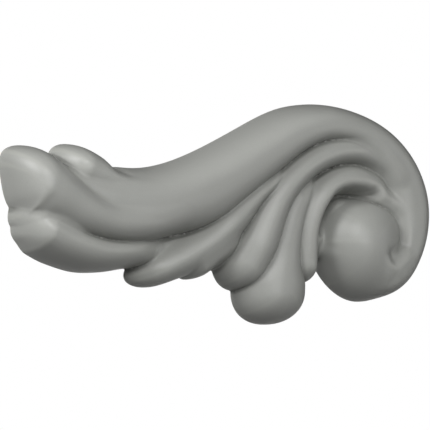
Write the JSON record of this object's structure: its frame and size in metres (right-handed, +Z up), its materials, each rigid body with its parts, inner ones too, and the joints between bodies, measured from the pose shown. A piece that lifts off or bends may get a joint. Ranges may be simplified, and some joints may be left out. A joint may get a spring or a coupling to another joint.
{
  "type": "scroll onlay",
  "caption": "Cast acanthus scroll onlay with a swelling stem, fanned fingers and a volute round a raised eye, on a flat back for fixing to a panel.",
  "frame": {"origin": "middle of the flat back face, on the back plane", "axes": "+X along the length towards the volute, +Z up, front facing -Y, back plane at Y = 0"},
  "size_m": [0.1992, 0.0258, 0.0918],
  "materials": {
    "primed_resin": "satin grey primer over cast resin"
  },
  "bodies": {
    "root": {"scroll_onlay": "primed_resin"}
  },
  "joints": []
}
